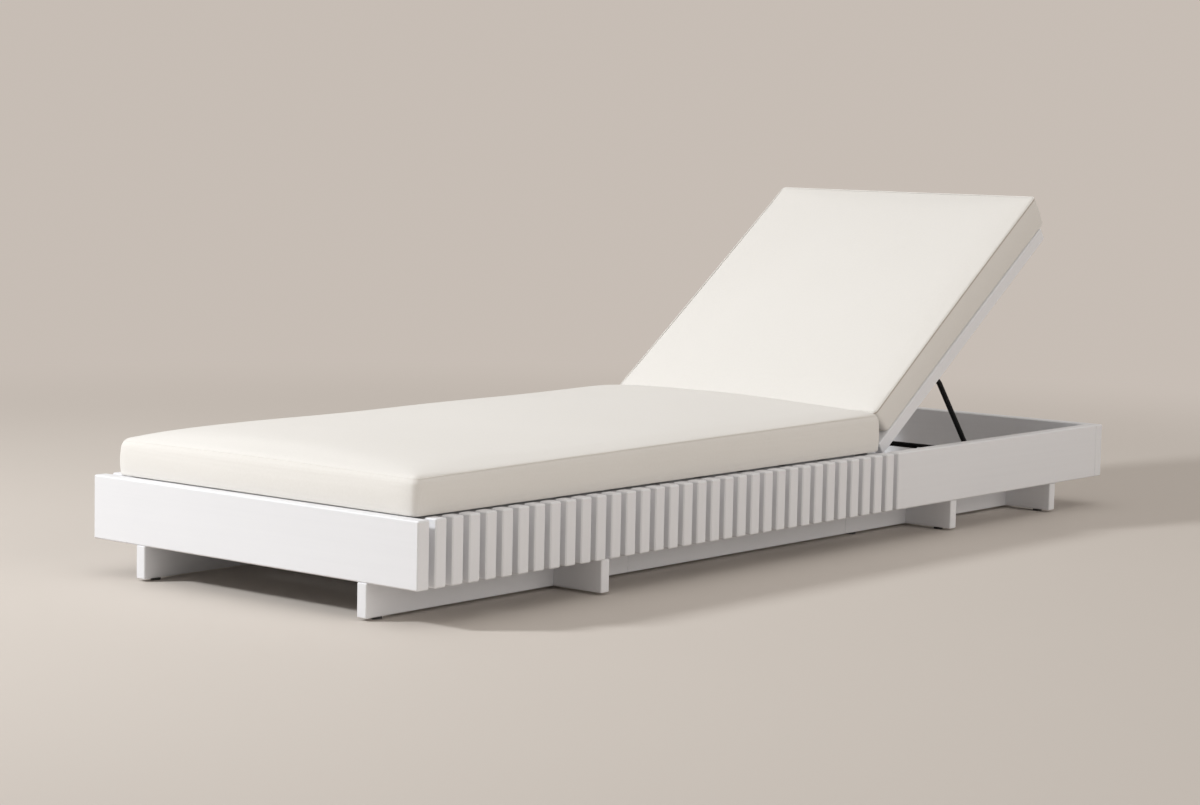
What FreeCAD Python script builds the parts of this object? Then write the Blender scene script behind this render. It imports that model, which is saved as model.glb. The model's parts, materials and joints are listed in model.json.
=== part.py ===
"""Slatted wooden chaise longue with a reclining back and two loose box cushions.

Frame: millimetres, +Z up, +Y towards the head end, origin on the floor under the middle.
"""
import FreeCAD
import Part
import math
import os

V = FreeCAD.Vector
X_AXIS = V(1, 0, 0)

# Overall sizes
overall_length = 2000.0
overall_width = 710.0
apron_height = 103.0
head_box_length = 739.5

# Timber sections
board = 25.0
slat_width = 24.0
slat_count = 33
edge_ease = 1.5
board_ease = 2.0
rail_drop = 4.0

# Plinth
plinth_height = 53.0
plinth_board = 20.0
runner_set_back = 112.0
cross_board_inset = 4.0
foot_cross_from_foot = 427.0
middle_cross_from_head = 552.0
head_cross_from_head = 192.0
seam_past_foot_cross = 189.0
seam_before_middle_cross = 199.0
lap_clearance = 0.2
glide_height = 4.0
glide_diameter = 17.0
glide_sides = 12
glide_inset = 32.0

# Seat deck
deck_slat_count = 10
deck_slat_gap = 24.0
deck_slat_thickness = 18.0
deck_end_play = 10.0
ledger_width = 15.0
ledger_height = 24.0
bearer_height = 60.0
corner_block = 40.0

# Back hinge: three butt hinges under the joint of seat and back
hinge_setout = 5.5
hinge_height_over_underside = 3.5
hinge_count = 3
hinge_clear_of_rail = 34.0
hinge_length = 72.0
hinge_leaf_width = 46.0
hinge_leaf = 2.5
knuckle_radius = 6.0
knuckle_gap = 0.3
pin_radius = 2.5
fixed_fit = 0.02
running_fit = 0.05
hinge_rail_height = 85.0
screw_sides = 8
screw_radius = 2.0
screw_head_radius = 4.0
screw_length = 13.5
screw_tip_room = 1.0
screw_spacing = 44.0
screw_set_in = 12.0

# Reclining back, drawn lying flat and then raised
rest_angle = 34.9
raise_travel = 6.0
back_side_gap = 2.0
back_setback = 25.4
back_end_gap = 18.0
back_rest_gap = 0.3
stile_width = 50.0
back_rail_width = 60.0
back_slat_count = 6
back_slat_gap = 26.0
back_slat_thickness = 18.0
tenon_length = 15.0
tenon_thickness = 8.0
tenon_shoulder = 6.0
tenon_clearance = 0.1

# Stay: one bent rod, its ends pivoting in brackets on the stiles
rod_radius = 5.0
stay_side_gap = 3.0
stay_pivot_along = 267.0
stay_pivot_below = 13.5
stay_length = 191.0
stay_rest_slope = 51.0
stay_ratio = 2.35
pivot_bend = 16.0
foot_bend = 26.0
bracket_plate = 3.0
bracket_ear = 5.0
bracket_length = 54.0
bracket_width = 28.0
bracket_ear_radius = 11.0
pivot_overhang = 8.0
retainer_width = 3.0
retainer_radius = 8.0
retainer_gap = 0.5

# Notched rails
notched_rail_thickness = 22.0
notched_rail_clear_of_bend = 27.0
notched_rail_low = 58.0
notch_steps = (6.0, 0.0, -6.5, -14.0)
notch_radius = 7.0
notch_depth = 4.0
notch_lead = 24.0
notch_ramp = 20.0
notch_clearance = 0.5

# Cushions
cushion_rest_gap = 0.2
cushion_side_bulge = 7.0
cushion_end_round = 10.0
cushion_draw_in = 5.0
cushion_crown = 12.0
cushion_end_crown = 4.2
seat_cushion_foot_lap = 24.0
seat_cushion_head_lap = 16.0
seat_cushion_foot_thickness = 60.0
seat_cushion_head_thickness = 70.0
seat_cushion_foot_gap = 30.0
seat_cushion_head_gap = 4.0
back_cushion_side_lap = -3.0
back_cushion_start = 34.0
back_cushion_low_thickness = 54.0
back_cushion_high_thickness = 64.0
back_cushion_overhang = 13.0

# Levels and lines that follow from the sizes above
foot_y = -overall_length / 2
head_y = overall_length / 2
side_x = overall_width / 2
panel_x = side_x - board
rail_x = panel_x - board
plinth_z = glide_height
base_z = plinth_z + plinth_height
top_z = base_z + apron_height
plinth_mid_z = (plinth_z + base_z) / 2
panel_y = head_y - head_box_length
deck_z = top_z - deck_slat_thickness
hinge_y = panel_y + hinge_setout
back_low_z = top_z - board
hinge_z = back_low_z + hinge_height_over_underside
hinge_rail_back_y = hinge_y - knuckle_radius
hinge_rail_front_y = hinge_rail_back_y - board
hinge_point = V(0, hinge_y, hinge_z)
back_x = rail_x - back_side_gap
back_inner_x = back_x - stile_width
back_start_y = hinge_y + back_setback
back_end_y = head_y - board - back_end_gap
flat_ledger_z = back_low_z - back_rest_gap
pivot_y = hinge_y + stay_pivot_along
pivot_z = back_low_z - stay_pivot_below
bracket_inner_x = back_inner_x
bracket_ear_outer_x = bracket_inner_x + bracket_ear
ledger_x = rail_x - ledger_width
stay_half_width = ledger_x - stay_side_gap - rod_radius
notched_rail_outer_x = stay_half_width - foot_bend - notched_rail_clear_of_bend
notched_rail_inner_x = notched_rail_outer_x - notched_rail_thickness
outer_hinge_x = notched_rail_inner_x - hinge_clear_of_rail - hinge_length / 2
hinge_places = [outer_hinge_x * (2 * i / (hinge_count - 1) - 1) for i in range(hinge_count)]
screw_places = [-screw_spacing / 2, screw_spacing / 2]
runner_x = side_x - runner_set_back
cross_board_starts = {
    "foot": foot_y + foot_cross_from_foot,
    "middle": head_y - middle_cross_from_head,
    "head": head_y - head_cross_from_head,
}
bearer_front_y = cross_board_starts["foot"] + plinth_board / 2
bearer_rear_y = (bearer_front_y + hinge_rail_back_y) / 2
seat_cushion_halves = (rail_x + seat_cushion_foot_lap, rail_x + seat_cushion_head_lap)
back_cushion_halves = (rail_x + back_cushion_side_lap, rail_x + back_cushion_side_lap)
seat_cushion_thicknesses = (seat_cushion_foot_thickness, seat_cushion_head_thickness)
back_cushion_thicknesses = (back_cushion_low_thickness, back_cushion_high_thickness)

# How far a cutting block or bore runs past the face that it cuts
overcut = 1.0


def block(x0, x1, y0, y1, z0, z1):
    """A square-edged block between two corners."""
    return Part.makeBox(x1 - x0, y1 - y0, z1 - z0, V(x0, y0, z0))


def eased(shape, size=edge_ease):
    """The same block with its arrises taken off."""
    return shape.makeChamfer(size, shape.Edges)


def left_of(shape):
    """The left-hand twin of a right-hand piece."""
    return shape.mirror(V(0, 0, 0), X_AXIS)


def rod_along_x(radius, x0, x1, y, z):
    """A cylinder that lies across the part."""
    return Part.makeCylinder(radius, x1 - x0, V(x0, y, z), X_AXIS)


def side_profile(points, x0, x1):
    """A board cut to an outline of (y, z) points and as thick as x0 to x1."""
    return flat_face([V(x0, y, z) for y, z in points]).extrude(V(x1 - x0, 0, 0))


def raised(shape, angle=rest_angle):
    """A piece of the back, drawn lying flat, turned up about the hinge line."""
    turned = shape.copy()
    turned.rotate(hinge_point, X_AXIS, angle)
    return turned


def turned_point(y, z, angle):
    """Where a point of the flat back lies when the back is raised by an angle."""
    turn = math.radians(angle)
    dy = y - hinge_y
    dz = z - hinge_z
    new_y = hinge_y + dy * math.cos(turn) - dz * math.sin(turn)
    new_z = hinge_z + dy * math.sin(turn) + dz * math.cos(turn)
    return new_y, new_z


def stay_slope(angle):
    """How steeply the stay's arms fall towards the head at a back angle, in degrees."""
    return stay_rest_slope + (stay_ratio - 1) * (angle - rest_angle)


def foot_bar(angle):
    """Where the stay's foot bar lies when the back is raised by an angle."""
    y, z = turned_point(pivot_y, pivot_z, angle)
    slope = math.radians(stay_slope(angle))
    return y + stay_length * math.cos(slope), z - stay_length * math.sin(slope)


def polygon_corners(point, direction, radius, sides):
    """The corners of a regular polygon, square to a direction that has no part along X."""
    across = direction.cross(X_AXIS)
    corners = []
    for i in range(sides):
        turn = 2 * math.pi * i / sides
        corners.append(point + X_AXIS * (radius * math.cos(turn)) + across * (radius * math.sin(turn)))
    return corners


def flat_face(corners):
    """The flat face inside an outline of corners."""
    return Part.Face(Part.makePolygon(corners + corners[:1]))


def screw_form(point, direction, clearance, length):
    """A countersunk head and a shank, with few flat sides, larger all round by a clearance."""
    sink = screw_head_radius - screw_radius + clearance
    top = point - direction * clearance
    neck = top + direction * sink
    tip = top + direction * length
    wide = screw_head_radius + clearance
    narrow = screw_radius + clearance
    levels = ((top, wide), (neck, narrow), (tip, narrow))
    rings = [polygon_corners(place, direction, radius, screw_sides) for place, radius in levels]
    faces = [flat_face(rings[0]), flat_face(rings[-1])]
    for upper, lower in zip(rings[:-1], rings[1:]):
        for i in range(screw_sides):
            j = (i + 1) % screw_sides
            faces.append(flat_face([upper[i], upper[j], lower[j], lower[i]]))
    shell = Part.Shell(faces)
    shell.sewShape()
    return Part.Solid(shell)


def screw(point, direction):
    """A countersunk screw with its head flush at a point."""
    return screw_form(point, direction, 0.0, screw_length)


def screw_hole(point, direction):
    """The countersunk hole that a screw sits in, a little larger than the screw."""
    return screw_form(point, direction, running_fit, screw_length + screw_tip_room)


def apron():
    """Foot board, head board, head side panels and the slats of both long sides."""
    pieces = {}
    foot = block(-side_x, side_x, foot_y, foot_y + board, base_z, top_z)
    head = block(-side_x, side_x, head_y - board, head_y, base_z, top_z)
    panel = block(panel_x, side_x, panel_y, head_y - board, base_z, top_z)
    pieces["foot_board"] = eased(foot, board_ease)
    pieces["head_board"] = eased(head, board_ease)
    pieces["side_panel_right"] = eased(panel, board_ease)
    pieces["side_panel_left"] = left_of(pieces["side_panel_right"])
    slats_start = foot_y + board
    gap = (panel_y - slats_start - slat_count * slat_width) / (slat_count + 1)
    slats = []
    for i in range(slat_count):
        y = slats_start + gap + i * (slat_width + gap)
        slat = block(panel_x, side_x, y, y + slat_width, base_z, top_z)
        slats.append(eased(slat, board_ease))
    pieces["side_slats_right"] = Part.makeCompound(slats)
    pieces["side_slats_left"] = Part.makeCompound([left_of(slat) for slat in slats])
    return pieces


def plinth():
    """Runners in three lengths a side, the cross boards lapped into them, and the glides."""
    pieces = {}
    runner_in = runner_x - plinth_board / 2
    runner_out = runner_x + plinth_board / 2
    cross_half = side_x - cross_board_inset
    foot_seam_y = cross_board_starts["foot"] + seam_past_foot_cross
    head_seam_y = cross_board_starts["middle"] - seam_before_middle_cross
    seams = [foot_y, foot_seam_y, head_seam_y, head_y]
    for name, start in cross_board_starts.items():
        end = start + plinth_board
        cross = eased(block(-cross_half, cross_half, start, end, plinth_z, base_z))
        lap = block(
            runner_in - lap_clearance,
            runner_out + lap_clearance,
            start - overcut,
            end + overcut,
            plinth_z - overcut,
            plinth_mid_z,
        )
        pieces["cross_board_" + name] = cross.cut(lap).cut(left_of(lap))
    for name, y0, y1 in zip(("foot", "middle", "head"), seams[:-1], seams[1:]):
        runner = eased(block(runner_in, runner_out, y0, y1, plinth_z, base_z))
        for start in cross_board_starts.values():
            low = start - lap_clearance
            high = start + plinth_board + lap_clearance
            lap = block(
                runner_in - overcut, runner_out + overcut, low, high, plinth_mid_z, base_z + overcut
            )
            runner = runner.cut(lap)
        pieces["runner_" + name + "_right"] = runner
        pieces["runner_" + name + "_left"] = left_of(runner)
    places = [(runner_x, foot_y + glide_inset)]
    places.append((runner_x, head_seam_y + glide_inset))
    places.append((runner_x, head_y - glide_inset))
    for name in ("middle", "head"):
        places.append((cross_half - glide_inset, cross_board_starts[name] + plinth_board / 2))
    glides = []
    for x, y in places:
        sole = flat_face(polygon_corners(V(x, y, 0), V(0, 0, 1), glide_diameter / 2, glide_sides))
        glide = sole.extrude(V(0, 0, glide_height))
        glides.append(glide)
        glides.append(left_of(glide))
    pieces["glides"] = Part.makeCompound(glides)
    return pieces


def seat_frame():
    """Side rails, ledgers, bearers, corner blocks, hinge rail and deck slats."""
    pieces = {}
    rail_top = top_z - rail_drop
    inner_foot_y = foot_y + board
    inner_head_y = head_y - board
    outline = [(inner_foot_y, base_z), (inner_head_y, base_z), (inner_head_y, flat_ledger_z)]
    outline += [(panel_y, flat_ledger_z), (panel_y, rail_top), (inner_foot_y, rail_top)]
    rail = side_profile(outline, rail_x, panel_x)
    block_end_y = inner_foot_y + corner_block
    seat_ledger = block(ledger_x, rail_x, block_end_y, hinge_rail_front_y, deck_z - ledger_height, deck_z)
    head_ledger_low = flat_ledger_z - ledger_height
    head_ledger = block(ledger_x, rail_x, back_start_y, inner_head_y, head_ledger_low, flat_ledger_z)
    pairs = {"side_rail": rail, "seat_ledger": seat_ledger, "head_ledger": head_ledger}
    for name, shape in pairs.items():
        pieces[name + "_right"] = shape
        pieces[name + "_left"] = left_of(shape)
    block_x = rail_x - corner_block
    foot_block = block(block_x, rail_x, inner_foot_y, block_end_y, base_z, deck_z)
    head_block_y = inner_head_y - corner_block
    head_block = block(block_x, rail_x, head_block_y, inner_head_y, base_z, head_ledger_low)
    corners = [foot_block, left_of(foot_block), head_block, left_of(head_block)]
    pieces["corner_blocks"] = Part.makeCompound(corners)
    for name, centre in (("front", bearer_front_y), ("rear", bearer_rear_y)):
        y = centre - board / 2
        pieces["bearer_" + name] = block(-rail_x, rail_x, y, y + board, base_z, base_z + bearer_height)
    hinge_rail = block(
        -rail_x, rail_x, hinge_rail_front_y, hinge_rail_back_y, top_z - hinge_rail_height, top_z
    )
    for point in fixed_screw_points():
        hinge_rail = hinge_rail.cut(screw_hole(point, V(0, -1, 0)))
    pieces["hinge_rail"] = hinge_rail
    deck_run = hinge_rail_front_y - inner_foot_y
    deck_pitch = (deck_run - deck_slat_gap) / deck_slat_count
    half = rail_x - deck_end_play
    for i in range(deck_slat_count):
        y = inner_foot_y + deck_slat_gap + i * deck_pitch
        slat = block(-half, half, y, y + deck_pitch - deck_slat_gap, deck_z, top_z)
        pieces["deck_slat_%02d" % (i + 1)] = eased(slat)
    return pieces


def fixed_screw_points():
    """Where the screws of the fixed hinge leaves enter, on the leaves' rear faces."""
    z = hinge_z - hinge_leaf_width + screw_set_in
    y = hinge_rail_back_y + hinge_leaf
    return [V(x + dx, y, z) for x in hinge_places for dx in screw_places]


def moving_screw_points():
    """Where the screws of the moving hinge leaves enter, with the back lying flat."""
    y = hinge_y + hinge_leaf_width - screw_set_in
    z = back_low_z - hinge_leaf
    return [V(x + dx, y, z) for x in hinge_places for dx in screw_places]


def bracket_screw_points():
    """Where the screws of the right-hand stay bracket enter, with the back lying flat."""
    x = bracket_ear_outer_x + (bracket_width - bracket_ear) / 2
    reach = bracket_length / 2 - screw_set_in
    z = back_low_z - bracket_plate
    return [V(x, pivot_y - reach, z), V(x, pivot_y + reach, z)]


def knuckle(x0, x1, bore):
    """One rolled knuckle of a hinge leaf."""
    barrel = rod_along_x(knuckle_radius, x0, x1, hinge_y, hinge_z)
    return barrel.cut(rod_along_x(bore, x0 - overcut, x1 + overcut, hinge_y, hinge_z))


def hinges():
    """Fixed leaves, moving leaves (raised with the back), pins and the fixed leaves' screws."""
    half = hinge_length / 2
    third = hinge_length / 6
    swing = knuckle_radius + knuckle_gap
    fixed_leaves = []
    moving_leaves = []
    pins = []
    for x in hinge_places:
        left = (x - half, x - third - knuckle_gap)
        middle = (x - third, x + third)
        right = (x + third + knuckle_gap, x + half)
        hole_from = x - half - overcut
        hole_to = x + half + overcut
        pin_hole = rod_along_x(pin_radius + fixed_fit, hole_from, hole_to, hinge_y, hinge_z)
        leaf_y = hinge_rail_back_y
        fixed = block(x - half, x + half, leaf_y, leaf_y + hinge_leaf, hinge_z - hinge_leaf_width, hinge_z)
        room_from = middle[0] - knuckle_gap
        room_to = middle[1] + knuckle_gap
        fixed = fixed.cut(rod_along_x(swing, room_from, room_to, hinge_y, hinge_z))
        for x0, x1 in (left, right):
            fixed = fixed.fuse(knuckle(x0, x1, pin_radius + fixed_fit))
        fixed_leaves.append(fixed.cut(pin_hole).removeSplitter())
        leaf_z = back_low_z - hinge_leaf
        moving = block(x - half, x + half, hinge_y, hinge_y + hinge_leaf_width, leaf_z, back_low_z)
        for x0, x1 in (left, right):
            room = rod_along_x(swing, x0 - knuckle_gap, x1 + knuckle_gap, hinge_y, hinge_z)
            moving = moving.cut(room)
        moving_hole = rod_along_x(pin_radius + running_fit, room_from, room_to, hinge_y, hinge_z)
        moving = moving.cut(moving_hole).fuse(knuckle(middle[0], middle[1], pin_radius + running_fit))
        moving_leaves.append(moving.removeSplitter())
        pins.append(rod_along_x(pin_radius, x - half, x + half, hinge_y, hinge_z))
    fixed_group = Part.makeCompound(fixed_leaves)
    for point in fixed_screw_points():
        fixed_group = fixed_group.cut(screw_hole(point, V(0, -1, 0)))
    moving_group = Part.makeCompound(moving_leaves)
    for point in moving_screw_points():
        moving_group = moving_group.cut(screw_hole(point, V(0, 0, 1)))
    screws = [screw(point, V(0, -1, 0)) for point in fixed_screw_points()]
    return {
        "hinge_fixed_leaves": fixed_group,
        "hinge_moving_leaves": raised(moving_group),
        "hinge_pins": Part.makeCompound(pins),
        "hinge_base_screws": Part.makeCompound(screws),
    }


def tenoned(y0, y1, z0, z1):
    """A cross piece of the back with a stub tenon at each end, and the room for its tenons."""
    middle_z = (z0 + z1) / 2
    body = block(-back_inner_x, back_inner_x, y0, y1, z0, z1)
    low = middle_z - tenon_thickness / 2
    high = middle_z + tenon_thickness / 2
    reach = back_inner_x + tenon_length
    tenons = block(-reach, reach, y0 + tenon_shoulder, y1 - tenon_shoulder, low, high)
    room_reach = reach + tenon_clearance
    room = block(
        -room_reach,
        room_reach,
        y0 + tenon_shoulder - tenon_clearance,
        y1 - tenon_shoulder + tenon_clearance,
        low - tenon_clearance,
        high + tenon_clearance,
    )
    return body.fuse(tenons).removeSplitter(), room


def back_frame():
    """Stiles, rails and slats of the back, with the screws of its hinges and brackets."""
    pieces = {}
    stile = eased(block(back_inner_x, back_x, back_start_y, back_end_y, back_low_z, top_z))
    bottom_end = back_start_y + back_rail_width
    top_start = back_end_y - back_rail_width
    cross_pieces = {}
    cross_pieces["back_bottom_rail"] = tenoned(back_start_y, bottom_end, back_low_z, top_z)
    cross_pieces["back_top_rail"] = tenoned(top_start, back_end_y, back_low_z, top_z)
    pitch = (top_start - bottom_end - back_slat_gap) / back_slat_count
    slat_z = top_z - back_slat_thickness
    for i in range(back_slat_count):
        y = bottom_end + back_slat_gap + i * pitch
        cross_pieces["back_slat_%d" % (i + 1)] = tenoned(y, y + pitch - back_slat_gap, slat_z, top_z)
    for name, (piece, room) in cross_pieces.items():
        stile = stile.cut(room)
        if name == "back_bottom_rail":
            for point in moving_screw_points():
                piece = piece.cut(screw_hole(point, V(0, 0, 1)))
        pieces[name] = raised(piece)
    for point in bracket_screw_points():
        stile = stile.cut(screw_hole(point, V(0, 0, 1)))
    pieces["back_stile_right"] = raised(stile)
    pieces["back_stile_left"] = raised(left_of(stile))
    screws = [screw(point, V(0, 0, 1)) for point in moving_screw_points()]
    for point in bracket_screw_points():
        bracket_screw = screw(point, V(0, 0, 1))
        screws.append(bracket_screw)
        screws.append(left_of(bracket_screw))
    pieces["back_screws"] = raised(Part.makeCompound(screws))
    return pieces


def stay_bracket():
    """The right-hand angle bracket under a stile, with its pivot ear, drawn lying flat."""
    y0 = pivot_y - bracket_length / 2
    y1 = pivot_y + bracket_length / 2
    outer_x = bracket_inner_x + bracket_width
    plate = block(bracket_inner_x, outer_x, y0, y1, back_low_z - bracket_plate, back_low_z)
    ear = block(
        bracket_inner_x,
        bracket_ear_outer_x,
        pivot_y - bracket_ear_radius,
        pivot_y + bracket_ear_radius,
        pivot_z,
        back_low_z,
    )
    eye = rod_along_x(bracket_ear_radius, bracket_inner_x, bracket_ear_outer_x, pivot_y, pivot_z)
    bore_from = bracket_inner_x - overcut
    bore_to = bracket_ear_outer_x + overcut
    bore = rod_along_x(rod_radius + running_fit, bore_from, bore_to, pivot_y, pivot_z)
    bracket = plate.fuse(ear).fuse(eye).cut(bore).removeSplitter()
    for point in bracket_screw_points():
        bracket = bracket.cut(screw_hole(point, V(0, 0, 1)))
    return bracket


def bent_path(corners, radii):
    """A wire of straight runs through corner points, with an arc of its own radius at each bend."""
    edges = []
    start = corners[0]
    for before, corner, after, radius in zip(corners[:-2], corners[1:-1], corners[2:], radii):
        back_way = (before - corner).normalize()
        on_way = (after - corner).normalize()
        half_turn = (math.pi - back_way.getAngle(on_way)) / 2
        trim = radius * math.tan(half_turn)
        arc_start = corner + back_way * trim
        arc_end = corner + on_way * trim
        middle_way = (back_way + on_way).normalize()
        arc_middle = corner + middle_way * (radius / math.cos(half_turn) - radius)
        edges.append(Part.LineSegment(start, arc_start).toShape())
        edges.append(Part.Arc(arc_start, arc_middle, arc_end).toShape())
        start = arc_end
    edges.append(Part.LineSegment(start, corners[-1]).toShape())
    return Part.Wire(edges)


def stay():
    """The bent-rod stay at its rest slope, and the retainers on its pivot ends."""
    end_x = bracket_inner_x - pivot_overhang
    corners = [V(-end_x, 0, 0), V(-stay_half_width, 0, 0), V(-stay_half_width, stay_length, 0)]
    corners += [V(-x, y, z) for x, y, z in reversed(corners)]
    path = bent_path(corners, (pivot_bend, foot_bend, foot_bend, pivot_bend))
    ring = Part.Wire([Part.makeCircle(rod_radius, corners[0], X_AXIS)])
    rod = path.makePipeShell([ring], True, False)
    face_x = bracket_inner_x - retainer_gap
    retainer = rod_along_x(retainer_radius, face_x - retainer_width, face_x, 0, 0)
    bore_radius = rod_radius + fixed_fit
    retainer = retainer.cut(rod_along_x(bore_radius, end_x - overcut, face_x + overcut, 0, 0))
    retainers = Part.makeCompound([retainer, left_of(retainer)])
    y, z = turned_point(pivot_y, pivot_z, rest_angle)
    placed = {}
    for name, shape in (("stay_rod", rod), ("stay_retainers", retainers)):
        shape.rotate(V(0, 0, 0), X_AXIS, -stay_rest_slope)
        shape.translate(V(0, y, z))
        placed[name] = shape
    return placed


def notched_rail():
    """The right-hand rail whose sloping top edge runs under the foot bar's path, with its notches."""
    high = foot_bar(rest_angle + raise_travel)
    low = foot_bar(0.0)
    run = math.hypot(low[0] - high[0], low[1] - high[1])
    along = ((low[0] - high[0]) / run, (low[1] - high[1]) / run)
    under = (along[1], -along[0])
    sampled = [foot_bar(angle) for angle in range(int(rest_angle + raise_travel) + 1)]
    dip = max((y - high[0]) * under[0] + (z - high[1]) * under[1] for y, z in sampled)
    offset = rod_radius + notch_clearance + dip

    def crest(distance, lift=0.0):
        """A point on the sloping edge at a distance from its upper end, lifted off the edge."""
        drop = offset - lift
        y = high[0] + along[0] * distance + under[0] * drop
        z = high[1] + along[1] * distance + under[1] * drop
        return y, z

    end_y = cross_board_starts["head"] + plinth_board
    upper = crest(-notch_lead)
    end_distance = (end_y - crest(0.0)[0]) / along[0]
    lower = crest(end_distance)
    low_z = base_z + notched_rail_low
    start_y = hinge_rail_back_y
    outline = [(start_y, base_z), (end_y, base_z), lower, upper]
    outline += [(upper[0] - notch_ramp, low_z), (start_y, low_z)]
    rail = side_profile(outline, notched_rail_inner_x, notched_rail_outer_x)
    cut_from = notched_rail_inner_x - overcut
    cut_to = notched_rail_outer_x + overcut
    for step in notch_steps:
        y, z = foot_bar(rest_angle + step)
        distance = (y - high[0]) * along[0] + (z - high[1]) * along[1]
        centre = crest(distance, notch_radius - notch_depth)
        rail = rail.cut(rod_along_x(notch_radius, cut_from, cut_to, *centre))
    return rail


def cushion_section(y, half_width, low, edge, crown):
    """One cross-section of a cushion: flat below, bulging at the sides and crowned on top."""
    corner = half_width - cushion_side_bulge
    middle = (low + edge) / 2
    low_left = V(-corner, y, low)
    low_right = V(corner, y, low)
    top_right = V(corner, y, edge)
    top_left = V(-corner, y, edge)
    edges = [
        Part.LineSegment(low_left, low_right).toShape(),
        Part.Arc(low_right, V(half_width, y, middle), top_right).toShape(),
        Part.Arc(top_right, V(0, y, edge + crown), top_left).toShape(),
        Part.Arc(top_left, V(-half_width, y, middle), low_left).toShape(),
    ]
    return Part.Wire(edges)


def between(pair, share):
    """A size that grows evenly from the first of a pair to the second."""
    return pair[0] + (pair[1] - pair[0]) * share


def cushion(y0, y1, z, thicknesses, halves):
    """A box cushion: rounded ends, sides drawn in between the corners, a crowned top.

    Its thickness and half width each go evenly from their value at y0 to their value at y1.
    """
    end_steps = 3
    body_steps = 6
    length = y1 - y0
    end = cushion_end_round
    end_stations = [end * (1 - math.cos(math.pi / 2 * i / end_steps)) for i in range(end_steps + 1)]
    stations = end_stations + [length * i / body_steps for i in range(1, body_steps)]
    stations += [length - s for s in reversed(end_stations)]
    wires = []
    for s in stations:
        near_end = min(s, length - s, end)
        inset = end - math.sqrt(end**2 - (end - near_end) ** 2)
        share = s / length
        swell = 1 - (2 * share - 1) ** 2
        half_width = between(halves, share) - cushion_draw_in * swell - inset / 2
        thickness = between(thicknesses, share)
        crown = cushion_end_crown + (cushion_crown - cushion_end_crown) * swell
        section = cushion_section(y0 + s, half_width, z + inset / 2, z + thickness - inset, crown)
        wires.append(section)
    return Part.makeLoft(wires, True, True)


def cushions():
    """Seat cushion on the deck and back cushion on the raised back."""
    seat_start = foot_y + seat_cushion_foot_gap
    seat_end = hinge_y - seat_cushion_head_gap
    seat_z = top_z + cushion_rest_gap
    seat = cushion(seat_start, seat_end, seat_z, seat_cushion_thicknesses, seat_cushion_halves)
    back_start = back_start_y + back_cushion_start
    back_end = back_end_y + back_cushion_overhang
    back_z = top_z + back_rest_gap
    back = cushion(back_start, back_end, back_z, back_cushion_thicknesses, back_cushion_halves)
    return {"seat_cushion": seat, "back_cushion": raised(back)}


def all_pieces():
    """Every piece of the chaise longue, by name."""
    pieces = {}
    for group in (apron, plinth, seat_frame, hinges, back_frame, stay, cushions):
        pieces.update(group())
    bracket = stay_bracket()
    pieces["stay_bracket_right"] = raised(bracket)
    pieces["stay_bracket_left"] = raised(left_of(bracket))
    catch_rail = notched_rail()
    pieces["notched_rail_right"] = catch_rail
    pieces["notched_rail_left"] = left_of(catch_rail)
    return pieces


os.makedirs("parts", exist_ok=True)
for piece_name, piece_shape in all_pieces().items():
    piece_shape.exportStep(os.path.join("parts", piece_name + ".step"))
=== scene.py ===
"""Looks of a slatted white chaise longue: painted timber, canvas cushions, black steel, light and camera."""

from __future__ import annotations

import json
import logging
import math
from dataclasses import dataclass
from enum import Enum
from typing import Any

import bpy
import numpy as np
from mathutils import Euler, Matrix, Vector

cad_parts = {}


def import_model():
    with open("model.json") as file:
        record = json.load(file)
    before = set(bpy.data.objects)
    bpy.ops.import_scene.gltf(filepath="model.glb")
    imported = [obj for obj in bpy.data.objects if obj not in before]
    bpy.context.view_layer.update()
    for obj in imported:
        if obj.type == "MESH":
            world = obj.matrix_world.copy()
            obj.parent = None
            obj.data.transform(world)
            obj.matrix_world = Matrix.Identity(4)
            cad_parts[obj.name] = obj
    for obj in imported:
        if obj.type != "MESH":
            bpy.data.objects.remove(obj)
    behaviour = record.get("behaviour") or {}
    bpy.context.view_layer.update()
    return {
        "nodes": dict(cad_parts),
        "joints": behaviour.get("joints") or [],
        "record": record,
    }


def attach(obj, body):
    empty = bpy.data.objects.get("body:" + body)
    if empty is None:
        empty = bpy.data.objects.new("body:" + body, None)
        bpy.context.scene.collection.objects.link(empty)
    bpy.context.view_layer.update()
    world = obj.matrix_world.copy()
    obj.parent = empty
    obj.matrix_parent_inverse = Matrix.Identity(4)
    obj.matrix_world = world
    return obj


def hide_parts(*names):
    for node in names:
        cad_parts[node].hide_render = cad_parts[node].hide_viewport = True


LOG = logging.getLogger("chaise")

# The cover's attribute that is 1 on a seam and 0 elsewhere, which paints shade along the seams
SEAM_SHADE = "seam"

# Keeps a division from zero
TINY = 1e-9

# A scale that changes nothing
PLAIN = (1.0, 1.0, 1.0)

# Sockets of a Mix node of colours, by number, because their names repeat
MIX_SHARE = 0
MIX_FIRST = 6
MIX_SECOND = 7
MIX_COLOUR = 2

# Faint waves in a cushion's top: radians per metre across and along, and the start of each
WAVES = ((9.1, 2.3, 0.0), (-7.7, 5.3, 1.1), (0.0, 11.9, 0.7))


class Grain(Enum):
    """Which way the brush went on a board: along which line of the frame the streaks run."""

    ACROSS = "across"
    ALONG = "along"
    UP = "up"
    BACK = "back"


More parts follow.
